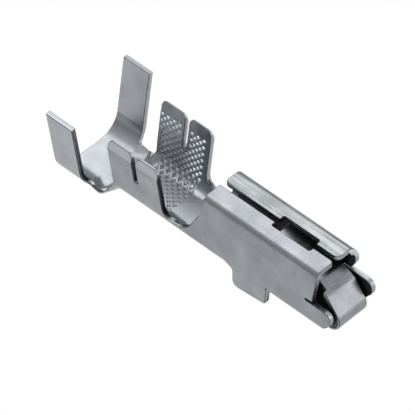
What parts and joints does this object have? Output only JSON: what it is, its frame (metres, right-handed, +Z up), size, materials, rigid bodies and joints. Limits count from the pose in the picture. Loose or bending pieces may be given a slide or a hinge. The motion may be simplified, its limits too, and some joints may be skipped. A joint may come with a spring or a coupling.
{
  "type": "female terminal",
  "caption": "Female crimp terminal folded from one strip, with insulation and wire barrels, low waist, spring box with contact tongue, ears and locking tabs.",
  "frame": {"origin": "centre of the bounding box in plan, on the plane through the lowest point of the locking tabs", "axes": "+X along the terminal towards its mating end, +Y to its left side, +Z up out of the open barrels"},
  "size_m": [0.0258, 0.0082, 0.0074],
  "materials": {
    "tinned_strip": "satin tin plating over copper alloy strip"
  },
  "bodies": {
    "root": {"female_terminal": "tinned_strip"}
  },
  "joints": []
}
